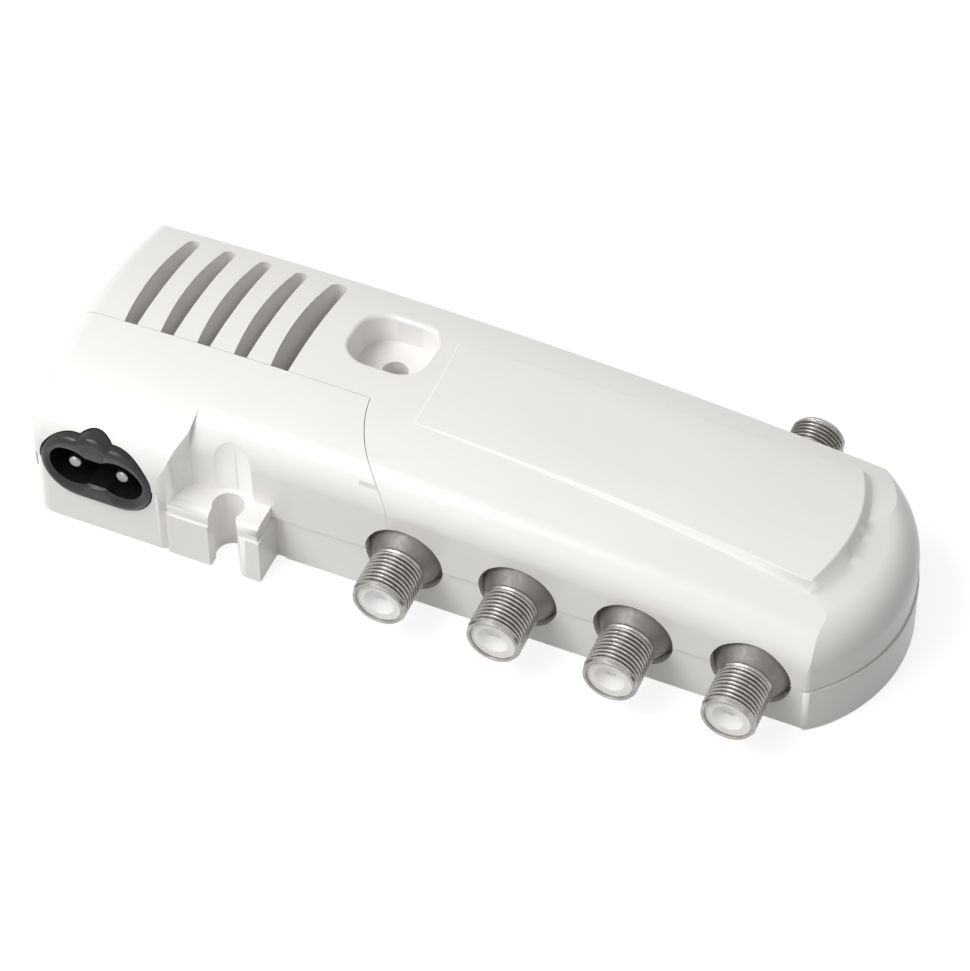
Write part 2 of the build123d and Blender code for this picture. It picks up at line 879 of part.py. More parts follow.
with BuildPart() as base_tray:
    add(housing(base_inset))
    add(shelf(base_height))
    fillet(base_tray.faces().sort_by(Axis.Z)[0].edges(), bottom_radius)
    add(tray_room.part, mode=Mode.SUBTRACT)
    for x, y in screw_places:
        with BuildSketch(Plane.XY):
            with Locations((x, y)):
                Circle(tray_boss_radius)
        extrude(amount=parting_at(x))
    with BuildSketch(Plane.XY):
        with Locations((well_x, well_y)):
            Circle(fixing_boss_radius)
    extrude(amount=base_height)
    for places, top in ((power_standoffs, power_board_z), (shield_feet, shield_bottom)):
        with BuildSketch(Plane.XY):
            with Locations(places):
                Circle(standoff_radius)
        extrude(amount=top)
    add(base_space, mode=Mode.INTERSECT)
    for space in (groove.part, port_space, inlet_space, slot_space):
        add(space, mode=Mode.SUBTRACT)
    # Relief between the post and the front wall
    with BuildSketch(Plane.XY):
        with Locations((shelf_right_x + post_relief_width / 2, front_y + base_inset)):
            Rectangle(post_relief_width, 2 * post_relief_depth)
    extrude(amount=base_height, mode=Mode.SUBTRACT)
    for x, y in screw_places:
        with BuildSketch(Plane.XY):
            with Locations((x, y)):
                Circle(screw_head_radius + screw_head_gap)
        extrude(amount=screw_well_depth, mode=Mode.SUBTRACT)
        with BuildSketch(Plane.XY):
            with Locations((x, y)):
                Circle(screw_radius + screw_hole_gap)
        extrude(amount=tall, mode=Mode.SUBTRACT)
    with BuildSketch(Plane.XY):
        with Locations((well_x, well_y)):
            Circle(fixing_hole_radius)
    extrude(amount=tall, mode=Mode.SUBTRACT)
save(base_tray, "base_tray")

# Case screws: pan heads in wells under the base, shanks reaching into the covers' bosses
with BuildPart() as case_screws:
    for x, y in screw_places:
        head_bottom = screw_well_depth - screw_head_height
        with BuildSketch(Plane.XY.offset(head_bottom)):
            with Locations((x, y)):
                Circle(screw_head_radius)
        extrude(amount=screw_head_height)
        with BuildSketch(Plane.XY.offset(screw_well_depth)):
            with Locations((x, y)):
                Circle(screw_radius)
        extrude(amount=parting_at(x) + screw_reach - screw_well_depth)
        with BuildSketch(Plane.XY.offset(head_bottom)):
            with Locations((x, y)):
                Rectangle(*screw_cross)
                Rectangle(*reversed(screw_cross))
        extrude(amount=screw_head_height / 2, mode=Mode.SUBTRACT)
save(case_screws, "case_screws")

# Mains inlet: rounded bar with a two-lobed socket round its pins
with BuildPart() as mains_inlet:
    with BuildSketch(inlet_plane(power_front_y - inlet_proud)):
        add(inlet_outline())
    extrude(amount=-inlet_depth)
    rim = mains_inlet.faces().sort_by(Axis.Y)[0].edges()
    fillet(rim, inlet_rim_radius)
    with BuildSketch(inlet_plane(power_front_y - inlet_proud)):
        add(socket_outline())
    extrude(amount=-inlet_cavity_depth, mode=Mode.SUBTRACT)
    with BuildSketch(inlet_plane(power_front_y - inlet_proud)):
        add(socket_outline(inlet_lead))
    extrude(amount=-inlet_lead_depth, taper=inlet_lead_slope, mode=Mode.SUBTRACT)
    with BuildSketch(inlet_plane(power_front_y)):
        with Locations((-inlet_pin_spacing / 2, 0), (inlet_pin_spacing / 2, 0)):
            Circle(inlet_shank_radius)
    extrude(amount=-2 * inlet_depth, mode=Mode.SUBTRACT)
save(mains_inlet, "mains_inlet")

# Pins: slim in the socket, thicker where the inlet's floor holds them, with legs to the board
with BuildPart() as inlet_pins:
    tip_y = power_front_y + inlet_pin_setback
    floor_y = power_front_y - inlet_proud + inlet_cavity_depth
    tail_y = power_front_y - inlet_proud + inlet_depth + inlet_tail
    with BuildSketch(inlet_plane(tip_y)):
        with Locations((-inlet_pin_spacing / 2, 0), (inlet_pin_spacing / 2, 0)):
            Circle(inlet_pin_radius)
    extrude(amount=tip_y - floor_y)
    fillet(inlet_pins.faces().group_by(Axis.Y)[0].edges(), inlet_pin_rounding)
    with BuildSketch(inlet_plane(floor_y)):
        with Locations((-inlet_pin_spacing / 2, 0), (inlet_pin_spacing / 2, 0)):
            Circle(inlet_shank_radius)
    extrude(amount=floor_y - tail_y)
    leg_bottom = power_board_z + board_thickness
    with BuildSketch(Plane.XY.offset(leg_bottom)):
        for side in (-1, 1):
            with Locations((inlet_x + side * inlet_pin_spacing / 2, tail_y - inlet_pin_radius)):
                Circle(inlet_leg_radius)
    extrude(amount=power_parting - leg_bottom)
save(inlet_pins, "inlet_pins")

# Ports: threaded barrel with a flange, white insulator and inner contact
port_names = [f"output_{n + 1}" for n in range(len(port_xs))] + ["input"]
for name, (x, side) in zip(port_names, ports):
    save(port_barrel(x, side), f"{name}_connector")
    save(port_insulator(x, side), f"{name}_insulator")
    save(port_contact(x, side), f"{name}_contact")

# Screening case of the amplifier module
shield_middle = ((shield_left_x + shield_right_x) / 2, 0)
shield_length = shield_right_x - shield_left_x
with BuildPart() as shield_frame:
    with BuildSketch(Plane.XY.offset(shield_bottom + sheet)):
        with Locations(shield_middle):
            Rectangle(shield_length, 2 * shield_half_width)
            Rectangle(shield_length - 2 * sheet, 2 * (shield_half_width - sheet), mode=Mode.SUBTRACT)
    extrude(amount=shield_top - shield_bottom - 2 * sheet)
    for x, side in ports:
        with BuildSketch(port_face(x, side, 0)):
            Circle(barrel_radius)
        extrude(amount=half_width, both=True, mode=Mode.SUBTRACT)
save(shield_frame, "shield_frame")

with BuildPart() as shield_base:
    add(block(shield_middle, (shield_length, 2 * shield_half_width, sheet), shield_bottom))
save(shield_base, "shield_base")

with BuildPart() as shield_lid:
    add(block(shield_middle, (shield_length, 2 * shield_half_width, sheet), shield_top - sheet))
    with BuildSketch(Plane.XY.offset(shield_bottom)):
        with Locations(shield_middle):
            with GridLocations(*lid_hole_pitch, *lid_hole_count):
                Circle(lid_hole_radius)
    extrude(amount=tall, mode=Mode.SUBTRACT)
save(shield_lid, "shield_lid")

# Amplifier board with its splitter cores, amplifier chip and capacitors
rf_top = rf_board_z + board_thickness
with BuildPart() as rf_board:
    length = shield_length - 2 * (sheet + board_gap)
    depth = 2 * (shield_half_width - sheet - board_gap)
    add(block(shield_middle, (length, depth, board_thickness), rf_board_z))
    # Notches that the ports' barrels reach into
    for x, side in ports:
        with BuildSketch(Plane.XY):
            with Locations((x, side * shield_half_width)):
                Rectangle(2 * (barrel_radius + board_gap), 2 * (barrel_length + board_gap))
        extrude(amount=tall, mode=Mode.SUBTRACT)
save(rf_board, "rf_board")

with BuildPart() as rf_spacers:
    for x, y in shield_feet:
        add(block((x, y), (spacer_size, spacer_size, spacer_height), shield_bottom + sheet))
save(rf_spacers, "rf_spacers")

with BuildPart() as splitter_cores:
    for left, right in zip(port_xs, port_xs[1:]):
        middle = (left + right) / 2
        add(block((middle, core_y), core_size, rf_top, core_corner))
        with BuildSketch(Plane.XZ.offset(-core_y - core_size[1])):
            with Locations((middle, rf_top + core_size[2] / 2)):
                with GridLocations(core_hole_spacing, 0, 2, 1):
                    Circle(core_hole_radius)
        extrude(amount=2 * core_size[1], mode=Mode.SUBTRACT)
save(splitter_cores, "splitter_cores")

chip_place = (port_in_x + chip_offset[0], chip_offset[1])
with BuildPart() as amplifier_chip:
    add(block(chip_place, chip_size, rf_top))
    with BuildSketch(Plane.XY.offset(rf_top)):
        with Locations(chip_place):
            with GridLocations(chip_lead_pitch, chip_lead_row, chip_lead_count, 2):
                Rectangle(chip_lead_size[0], chip_lead_size[1])
    extrude(amount=chip_lead_size[2])
save(amplifier_chip, "amplifier_chip")

rf_capacitor_place = (port_in_x + rf_capacitor_offset[0], rf_capacitor_offset[1])
save(can(rf_capacitor_place, rf_capacitor_radius, rf_capacitor_height, rf_top), "rf_capacitor")

# Power board and its components
with BuildPart() as power_board:
    size = (power_board_length, 2 * power_board_half_width, board_thickness)
    add(block(board_spot((power_board_length / 2, 0)), size, power_board_z))
    with BuildSketch(Plane.XY):
        with Locations(screw_places):
            Circle(tray_boss_radius + board_gap)
    extrude(amount=tall, mode=Mode.SUBTRACT)
save(power_board, "power_board")

power_top = power_board_z + board_thickness
core_low = power_top + bobbin_base
transformer_spot = board_spot(transformer_place)
with BuildPart() as transformer_bobbin:
    add(block(transformer_spot, (core_width, winding_length, bobbin_base), power_top))
save(transformer_bobbin, "transformer_bobbin")

window_width = (core_width - 2 * core_leg) / 2
window_height = winding_height + 2 * board_gap
with BuildPart() as transformer_core:
    add(block(transformer_spot, (core_width, core_depth, core_height), core_low))
    with BuildSketch(Plane.XZ.offset(-transformer_spot[1] - core_depth)):
        with Locations((transformer_spot[0], core_low + core_height / 2)):
            with GridLocations(core_leg + window_width, 0, 2, 1):
                Rectangle(window_width, window_height)
    extrude(amount=2 * core_depth, mode=Mode.SUBTRACT)
save(transformer_core, "transformer_core")

with BuildPart() as transformer_winding:
    low = core_low + (core_height - winding_height) / 2
    size = (core_leg + 2 * (window_width - board_gap), winding_length, winding_height)
    add(block(transformer_spot, size, low, winding_corner))
    with BuildSketch(Plane.XY.offset(low)):
        with Locations(transformer_spot):
            Rectangle(core_leg, core_depth)
    extrude(amount=winding_height, mode=Mode.SUBTRACT)
save(transformer_winding, "transformer_winding")

bulk_spot = board_spot(bulk_capacitor_place)
save(can(bulk_spot, bulk_capacitor_radius, bulk_capacitor_height, power_top), "bulk_capacitor")
output_spot = board_spot(output_capacitor_place)
save(can(output_spot, output_capacitor_radius, output_capacitor_height, power_top), "output_capacitor")

choke_spot = board_spot(choke_place)
with BuildPart() as choke:
    with BuildSketch(Plane(origin=(*choke_spot, power_top), x_dir=(1, 0, 0), z_dir=(0, -1, 0))):
        with BuildLine():
            Polyline(
                (0, 0),
                (choke_radius, 0),
                (choke_radius, choke_flange),
                (choke_radius - choke_waist, choke_flange),
                (choke_radius - choke_waist, choke_height - choke_flange),
                (choke_radius, choke_height - choke_flange),
                (choke_radius, choke_height),
                (0, choke_height),
                close=True,
            )
        make_face()
    revolve(axis=Axis((*choke_spot, 0), (0, 0, 1)))
save(choke, "choke")

with BuildPart() as rectifier:
    add(block(board_spot(rectifier_place), rectifier_size, power_top, rectifier_corner))
save(rectifier, "rectifier")

fuse_x, fuse_y = board_spot(fuse_place)
fuse_end = Plane(
    origin=(fuse_x - fuse_length / 2, fuse_y, power_top + fuse_radius + fuse_lift),
    x_dir=(0, 1, 0),
    z_dir=(1, 0, 0),
)
with BuildPart() as fuse:
    with BuildSketch(fuse_end):
        Circle(fuse_radius - fuse_cap_step)
    extrude(amount=fuse_length)
    for start in (0.0, fuse_length - fuse_cap):
        with BuildSketch(fuse_end.offset(start)):
            Circle(fuse_radius)
        extrude(amount=fuse_cap)
save(fuse, "fuse")

# Clips that hold the fuse from below and stand on the board
with BuildPart() as fuse_clips:
    for start in (clip_inset, fuse_length - clip_inset - clip_thickness):
        with BuildSketch(fuse_end.offset(start)):
            with Locations((0, -(fuse_radius + fuse_lift) / 2)):
                Rectangle(2 * (fuse_radius + clip_side), fuse_radius + fuse_lift)
            Circle(fuse_radius, mode=Mode.SUBTRACT)
        extrude(amount=clip_thickness)
save(fuse_clips, "fuse_clips")
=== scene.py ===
import json
import math

import bmesh
import bpy
import numpy as np
from mathutils import Matrix, Vector


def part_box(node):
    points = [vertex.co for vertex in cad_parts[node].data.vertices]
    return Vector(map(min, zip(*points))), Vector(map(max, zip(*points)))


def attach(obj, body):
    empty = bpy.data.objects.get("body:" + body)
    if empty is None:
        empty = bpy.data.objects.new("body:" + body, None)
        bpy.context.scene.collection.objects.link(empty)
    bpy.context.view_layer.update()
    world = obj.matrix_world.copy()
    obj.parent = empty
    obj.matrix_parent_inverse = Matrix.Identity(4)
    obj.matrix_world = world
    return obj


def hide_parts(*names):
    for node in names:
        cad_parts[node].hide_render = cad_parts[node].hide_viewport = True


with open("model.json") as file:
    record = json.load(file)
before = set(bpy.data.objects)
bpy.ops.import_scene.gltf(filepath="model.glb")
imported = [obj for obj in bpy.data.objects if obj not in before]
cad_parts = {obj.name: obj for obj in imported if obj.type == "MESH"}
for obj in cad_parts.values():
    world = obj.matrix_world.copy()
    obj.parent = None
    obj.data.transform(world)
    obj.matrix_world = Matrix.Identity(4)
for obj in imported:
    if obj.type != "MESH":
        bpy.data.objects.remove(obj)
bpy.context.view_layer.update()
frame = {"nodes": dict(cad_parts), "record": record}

scene = bpy.context.scene
MM = 0.001

# Camera, found by fitting the sockets, the inlet's pins and the base's edges
CAMERA_TARGET = Vector((-1.35, -0.82, 10.0)) * MM
CAMERA_DISTANCE = 659.2 * MM
CAMERA_AZIMUTH = math.radians(23.90)
CAMERA_ELEVATION = math.radians(48.545)
CAMERA_ROLL = math.radians(-0.598)
CAMERA_LENS = 150.2
SENSOR = 36.0
CLIP_START = 0.01

# Lights and floor
AMBIENT_LIT_SIDE = 0.44
AMBIENT_DARK_SIDE = 0.11
AMBIENT_SPREAD = 0.8
LIT_SIDE = (-0.75, -0.15, 0.65)
# Each lamp's name, place, the point that it faces, its width and height, and its power
LAMPS = [
    ("key", (-0.50, -0.45, 0.95), (0.0, 0.0, 0.0), (0.8, 0.6), 9.2),
    ("fill", (-0.10, -0.95, 0.40), (0.0, 0.0, 0.01), (0.8, 0.5), 1.3),
    ("rim", (0.1, 0.8, 0.5), (0.0, 0.0, 0.01), (0.9, 0.3), 0.5),
]
FLOOR_SIZE = 6.0
FLOOR_LIFT = 0.78
FLOOR_GREY = 0.40
FLOOR_ROUGHNESS = 0.9

# Threaded sockets: sizes of the standard thread and of the flange in the recess
PORT_NAMES = ["output_1", "output_2", "output_3", "output_4", "input"]
CONNECTORS = [f"{name}_connector" for name in PORT_NAMES]
THREAD_PITCH = 0.794 * MM
THREAD_DEPTH = 0.40 * MM
THREAD_STEPS = 14
THREAD_RUN_OUT = 0.5 * THREAD_PITCH
FLAT_WIDTH = 8.86 * MM
PORT_ANGLES = 96
THREAD_RADIUS = 4.76 * MM
CAD_BORE_RADIUS = 3.6 * MM
BORE_RADIUS = 3.9 * MM
BORE_MARGIN = 0.01 * MM
OUTER_WALL_SHARE = 0.98
BARREL_RADIUS = 4.3 * MM
FLANGE_RADIUS = 6.4 * MM
FLANGE_EDGE = 0.15 * MM
NECK_RADIUS = 4.5 * MM
COLLAR_RISE = 2.8 * MM
COLLAR_DULL = 0.25
# Span of groove depth over which painted shade darkens the thread grooves
GROOVE_SHADE_SPAN = (0.30, 0.95)
RIM_CHAMFER = 0.3 * MM
RIM_STEP = (0.5 * RIM_CHAMFER, 0.3 * RIM_CHAMFER)
RIM_SHOULDER_DROP = 0.4 * RIM_CHAMFER
RIM_FACE_INSET = 1.4 * RIM_CHAMFER
BORE_CHAMFER = 0.3 * RIM_CHAMFER
RIM_LENGTH = 0.75 * MM
PORT_REACH = 10.1 * MM
THREAD_FOOT = 2.2 * MM
FLANGE_FRONT = -1.2 * MM
FLANGE_BACK = -2.3 * MM
BARREL_END = -4.5 * MM
WALL_Y = 20.6 * MM
PORT_Z = 10.0 * MM

# Housing's curved surfaces: the crown's section and its swing, and the bow of the right end
CROWN_TOP = 28.5 * MM
APEX_X = -36.0 * MM
APEX_Y = -2.5 * MM
CROWN_REACH = 107.25 * MM
CROWN_FALL = 7.04 * MM
PANEL_FALL = 5.1 * MM
BACK_FALL = 4.17 * MM
FRONT_FALL = 1.81 * MM
SHOULDER_RADIUS = 7.0 * MM
BLOCK_STEP = 6.0 * MM
BOW_DEPTH = 9.5 * MM
HALF_LENGTH = 71.25 * MM
END_SHOULDER_Z = 14.5 * MM
MATCH_DISTANCE = 0.012 * MM
MATCH_FACING = 0.9
FLAT_FACING = math.cos(math.radians(0.5))
BASE_INSET = 0.25 * MM
LEDGE_OUT = 0.55 * MM
LEDGE_STARTS = 59.0 * MM
LEDGE_FULL = 64.0 * MM
PANEL_START = (-15.5 * MM, -12.0 * MM)
PANEL_START_REACH = 0.4 * MM
PANEL_START_FACING = 0.5
HOUSING = ["top_cover", "power_cover", "base_tray"]

# Grain of moulded plastic and plated metal: spans of noise that are stretched, and scales of finer noise
CLOUD_SPAN = (0.35, 0.65)
GRAIN_SPAN = (0.3, 0.9)
BLOOM_SPAN = (0.34, 0.66)
PIT_SPAN = (0.60, 0.74)
FINE_RATIO = 4.2
RUB_RATIO = 1.9
RUB_RELIEF = 0.006 * MM

# Shading of the pieces that stand for CAD nodes
SMOOTH_ANGLE = 24.0
WELD = 0.002 * MM
SMOOTHED = [*HOUSING, "mains_inlet", "inlet_pins", *[f"{name}_insulator" for name in PORT_NAMES]]


def linear(*srgb):
    """Colour in linear light of an 8-bit display colour."""
    scaled = np.array(srgb) / 255.0
    low = scaled / 12.92
    high = ((scaled + 0.055) / 1.055) ** 2.4
    return (*np.where(scaled <= 0.04045, low, high), 1.0)


# Shader node groups


def new_group(name, inputs, outputs):
    """Empty shader group with float inputs given as name and default, and float outputs."""
    group = bpy.data.node_groups.new(name, "ShaderNodeTree")
    for label, value in inputs:
        socket = group.interface.new_socket(label, in_out="INPUT", socket_type="NodeSocketFloat")
        socket.default_value = value
    for label in outputs:
        group.interface.new_socket(label, in_out="OUTPUT", socket_type="NodeSocketFloat")
    return group, group.nodes.new("NodeGroupInput"), group.nodes.new("NodeGroupOutput")


def noise(tree, scale, detail=2.0, roughness=0.5, vector=None):
    """Noise texture node on Object coordinates, its scale a number or a socket."""
    node = tree.nodes.new("ShaderNodeTexNoise")
    node.inputs["Detail"].default_value = detail
    node.inputs["Roughness"].default_value = roughness
    if vector is None:
        vector = tree.nodes.new("ShaderNodeTexCoord").outputs["Object"]
    tree.links.new(vector, node.inputs["Vector"])
    if isinstance(scale, bpy.types.NodeSocket):
        tree.links.new(scale, node.inputs["Scale"])
    else:
        node.inputs["Scale"].default_value = scale
    return node


def math_node(tree, operation, first, second, clamp=False):
    """Math node whose operands are numbers or sockets; gives its output socket."""
    node = tree.nodes.new("ShaderNodeMath")
    node.operation = operation
    node.use_clamp = clamp
    for socket, value in zip(node.inputs, (first, second)):
        if isinstance(value, bpy.types.NodeSocket):
            tree.links.new(value, socket)
        else:
            socket.default_value = value
    return node.outputs[0]


def map_range(tree, value, low, high, to_low=0.0, to_high=1.0):
    """Smooth step of a socket from one range to another."""
    node = tree.nodes.new("ShaderNodeMapRange")
    node.interpolation_type = "SMOOTHSTEP"
    tree.links.new(value, node.inputs["Value"])
    labels = ("From Min", "From Max", "To Min", "To Max")
    for label, number in zip(labels, (low, high, to_low, to_high)):
        node.inputs[label].default_value = number
    return node.outputs["Result"]


def build_mould_grain():
    """Moulded plastic: fine orange-peel height, and slow cloudiness from 0 to 1."""
    group, given, out = new_group(
        "mould_grain",
        [("Peel Scale", 900.0), ("Cloud Scale", 45.0), ("Fine Share", 0.3)],
        ["Height", "Cloud"],
    )
    peel = noise(group, given.outputs["Peel Scale"], 2.0).outputs["Fac"]
    fine_scale = math_node(group, "MULTIPLY", given.outputs["Peel Scale"], FINE_RATIO)
    fine = noise(group, fine_scale, 1.0).outputs["Fac"]
    fine_part = math_node(group, "MULTIPLY", fine, given.outputs["Fine Share"])
    group.links.new(math_node(group, "ADD", peel, fine_part), out.inputs["Height"])
    cloud = noise(group, given.outputs["Cloud Scale"], 3.0, 0.55).outputs["Fac"]
    group.links.new(map_range(group, cloud, *CLOUD_SPAN), out.inputs["Cloud"])
    return group


def build_worn_plate():
    """Plated metal: mottled bloom, small dark pits and a fine rub, each from 0 to 1."""
    group, given, out = new_group(
        "worn_plate", [("Bloom Scale", 700.0), ("Pit Scale", 3200.0)], ["Bloom", "Pits", "Rub"]
    )
    bloom = noise(group, given.outputs["Bloom Scale"], 4.0, 0.6).outputs["Fac"]
    group.links.new(map_range(group, bloom, *BLOOM_SPAN), out.inputs["Bloom"])
    pits = noise(group, given.outputs["Pit Scale"], 2.0, 0.5).outputs["Fac"]
    group.links.new(map_range(group, pits, *PIT_SPAN), out.inputs["Pits"])
    rub_scale = math_node(group, "MULTIPLY", given.outputs["Pit Scale"], RUB_RATIO)
    group.links.new(noise(group, rub_scale, 2.0, 0.7).outputs["Fac"], out.inputs["Rub"])
    return group


MOULD_GRAIN = build_mould_grain()
WORN_PLATE = build_worn_plate()


# Materials


def new_material(name):
    """Material with a bare Principled shader; gives the material, its tree and the shader."""
    material = bpy.data.materials.new(name)
    material.use_nodes = True
    tree = material.node_tree
    return material, tree, tree.nodes["Principled BSDF"]


def place_group(tree, group, **values):
    """Node for a group, with its inputs set by name, an underscore for a space."""
    node = tree.nodes.new("ShaderNodeGroup")
    node.node_tree = group
    for label, value in values.items():
        node.inputs[label.replace("_", " ")].default_value = value
    return node


def mix_colour(tree, factor, first, second):
    """Mix of two colours, each a tuple or a socket, by a factor socket."""
    node = tree.nodes.new("ShaderNodeMix")
    node.data_type = "RGBA"
    tree.links.new(factor, node.inputs["Factor"])
    for socket, value in ((node.inputs[6], first), (node.inputs[7], second)):
        if isinstance(value, bpy.types.NodeSocket):
            tree.links.new(value, socket)
        else:
            socket.default_value = value
    return node.outputs[2]


def bump(tree, shader, height, distance):
    """Bump from a height socket, its distance in metres, into the shader's normal."""
    node = tree.nodes.new("ShaderNodeBump")
    node.inputs["Distance"].default_value = distance
    tree.links.new(height, node.inputs["Height"])
    tree.links.new(node.outputs["Normal"], shader.inputs["Normal"])


def moulded(name, colour, cloudy, low_rough, high_rough, relief=0.000004, fine=0.3):
    """Moulded plastic with a slightly cloudy colour, uneven gloss and orange peel."""
    material, tree, shader = new_material(name)
    grain = place_group(tree, MOULD_GRAIN, Fine_Share=fine)
    tree.links.new(mix_colour(tree, grain.outputs["Cloud"], colour, cloudy), shader.inputs["Base Color"])
    rough = map_range(tree, grain.outputs["Height"], *GRAIN_SPAN, low_rough, high_rough)
    tree.links.new(rough, shader.inputs["Roughness"])
    bump(tree, shader, grain.outputs["Height"], relief)
    return material, tree, shader


def plated(name, bright, dull, pit, low_rough, high_rough):
    """Plated metal with a mottled bloom, small pits and a fine rub; gives material, tree and shader."""
    material, tree, shader = new_material(name)
    shader.inputs["Metallic"].default_value = 1.0
    plate = place_group(tree, WORN_PLATE)
    body = mix_colour(tree, plate.outputs["Bloom"], bright, dull)
    tree.links.new(mix_colour(tree, plate.outputs["Pits"], body, pit), shader.inputs["Base Color"])
    rough = map_range(tree, plate.outputs["Bloom"], 0.0, 1.0, low_rough, high_rough)
    tree.links.new(rough, shader.inputs["Roughness"])
    bump(tree, shader, plate.outputs["Rub"], RUB_RELIEF)
    return material, tree, shader


def socket_nickel():
    """Satin nickel of the sockets. Near the wall the collar is painted a darker grey, standing for the
    recess's shade, and is also duller there. The thread grooves are painted darker, standing for their
    shade.
    """
    material, tree, shader = plated(
        "satin_nickel", linear(176, 173, 168), linear(158, 155, 150), linear(112, 109, 105), 0.28, 0.38
    )
    place = tree.nodes.new("ShaderNodeTexCoord")
    parts = tree.nodes.new("ShaderNodeSeparateXYZ")
    tree.links.new(place.outputs["Object"], parts.inputs["Vector"])
    # Painted shade: the collar close to the wall, inside the recess, is coloured a darker grey. It is also
    # made rougher
    away = math_node(tree, "ABSOLUTE", parts.outputs["Y"], 0.0)
    past_shaded_dull_collar = map_range(tree, away, WALL_Y + FLANGE_FRONT + COLLAR_RISE, WALL_Y + THREAD_FOOT)
    # Painted shade: the thread grooves are coloured darker, more so where they are deeper
    groove = tree.nodes.new("ShaderNodeAttribute")
    groove.attribute_name = "groove"
    groove_shade = map_range(tree, groove.outputs["Fac"], *GROOVE_SHADE_SPAN)
    metal = shader.inputs["Base Color"].links[0].from_socket
    body = mix_colour(tree, groove_shade, metal, linear(70, 67, 64))
    tree.links.new(mix_colour(tree, past_shaded_dull_collar, linear(128, 124, 120), body), shader.inputs["Base Color"])
    gloss = shader.inputs["Roughness"].links[0].from_socket
    collar = math_node(tree, "MULTIPLY", math_node(tree, "SUBTRACT", 1.0, past_shaded_dull_collar), COLLAR_DULL)
    tree.links.new(math_node(tree, "ADD", gloss, collar, clamp=True), shader.inputs["Roughness"])
    return material


def white_housing():
    """Warm white, rather glossy moulding of the housing."""
    material, _, shader = moulded(
        "white_housing", linear(243, 241, 238), linear(241, 239, 235), 0.30, 0.38, relief=0.0000008, fine=0.0
    )
    shader.inputs["Coat Weight"].default_value = 0.12
    shader.inputs["Coat Roughness"].default_value = 0.15
    return material


def black_inlet():
    """Satin black moulding of the mains inlet."""
    return moulded("black_inlet", linear(22, 21, 21), linear(27, 26, 26), 0.26, 0.40, relief=0.000006)[0]


MATERIALS = {
    "white_plastic": white_housing(),
    "black_plastic": black_inlet(),
    "nickel": socket_nickel(),
    "insulator": moulded(
        "insulator_white", linear(251, 250, 248), linear(248, 247, 243), 0.35, 0.5, relief=0.000001, fine=0.0
    )[0],
    "contact": plated(
        "tinned_contact", linear(110, 98, 76), linear(90, 80, 60), linear(60, 52, 40), 0.4, 0.5
    )[0],
    "inlet_pin": plated(
        "pin_nickel", linear(172, 170, 167), linear(150, 148, 145), linear(110, 108, 105), 0.3, 0.4
    )[0],
    "tinplate": plated(
        "tinned_sheet", linear(198, 198, 196), linear(180, 181, 180), linear(140, 140, 138), 0.3, 0.45
    )[0],
    "board": moulded("solder_mask", linear(44, 98, 56), linear(38, 88, 50), 0.3, 0.45)[0],
    "ferrite": moulded("ferrite_grey", linear(62, 62, 64), linear(50, 50, 53), 0.5, 0.7)[0],
    "tape": moulded("winding_tape", linear(214, 190, 84), linear(204, 178, 70), 0.3, 0.45)[0],
    "black_parts": moulded("black_moulding", linear(34, 34, 36), linear(42, 42, 44), 0.45, 0.6)[0],
    "sleeve": moulded("shrink_sleeve", linear(38, 52, 88), linear(32, 44, 76), 0.25, 0.35)[0],
    "screw": plated(
        "zinc_screw", linear(170, 170, 168), linear(150, 150, 148), linear(104, 104, 102), 0.3, 0.42
    )[0],
}


def clear_glass():
    """Clear glass tube of the fuse, with plain transmission."""
    material, tree, shader = new_material("clear_glass")
    shader.inputs["Transmission Weight"].default_value = 1.0
    shader.inputs["Roughness"].default_value = 0.03
    grain = place_group(tree, MOULD_GRAIN, Peel_Scale=600.0, Cloud_Scale=200.0)
    tree.links.new(
        mix_colour(tree, grain.outputs["Cloud"], linear(240, 246, 246), linear(232, 240, 241)),
        shader.inputs["Base Color"],
    )
    return material


MATERIALS["glass_tube"] = clear_glass()
SLOT_OF = {entry["node"]: entry["material_slot"] for entry in frame["record"]["subparts"]}


# Meshes


def make_mesh(name, points, faces):
    """Mesh object from arrays of points and faces, at the origin."""
    mesh = bpy.data.meshes.new(name)
    mesh.from_pydata(points.tolist(), [], faces.tolist())
    mesh.update()
    piece = bpy.data.objects.new(name, mesh)
    scene.collection.objects.link(piece)
    return piece


def read_places(mesh):
    """The mesh's points, one in each row."""
    places = np.empty(len(mesh.vertices) * 3, np.float32)
    mesh.vertices.foreach_get("co", places)
    return places.reshape(-1, 3)


def write_places(mesh, places):
    """Put the mesh's points in new places."""
    mesh.vertices.foreach_set("co", places.ravel())
    mesh.update()


def swung_arc(points, fall, centre_y, centre_z, radius):
    """Distance from, and normal of, an arc of the crown's section swung about the far axis along Y.

    The axis lies below the apex, as deep as the radius whose arc drops by the fall over the reach.
    """
    sweep = (CROWN_REACH**2 + fall**2) / (2 * fall)
    axis_z = CROWN_TOP - sweep
    x, y, z = points[..., 0] - APEX_X, points[..., 1] - centre_y, points[..., 2] - axis_z
    up = np.hypot(x, z)
    rise = up + axis_z - centre_z
    reach = np.hypot(y, rise)
    normal = np.stack([rise / reach * x / up, y / reach, rise / reach * z / up], -1)
    return np.abs(reach - radius), normal


def turned_arc(points, ring, centre_z, radius):
    """Distance from, and normal of, an arc turned about the upright axis of the right end's bow.

    With no centre height it is the upright wall.
    """
    x = points[..., 0] - HALF_LENGTH + bow_radius()
    out = np.hypot(x, points[..., 1])
    across = out - ring
    rise = (points[..., 2] - centre_z) if centre_z else 0 * out
    reach = np.hypot(across, rise)
    normal = np.stack([across / reach * x / out, across / reach * points[..., 1] / out, rise / reach], -1)
    return np.abs(reach - radius), normal


def bow_radius():
    """Radius of the right end's bow, from its depth over the housing's width."""
    return (BOW_DEPTH**2 + WALL_Y**2) / (2 * BOW_DEPTH)


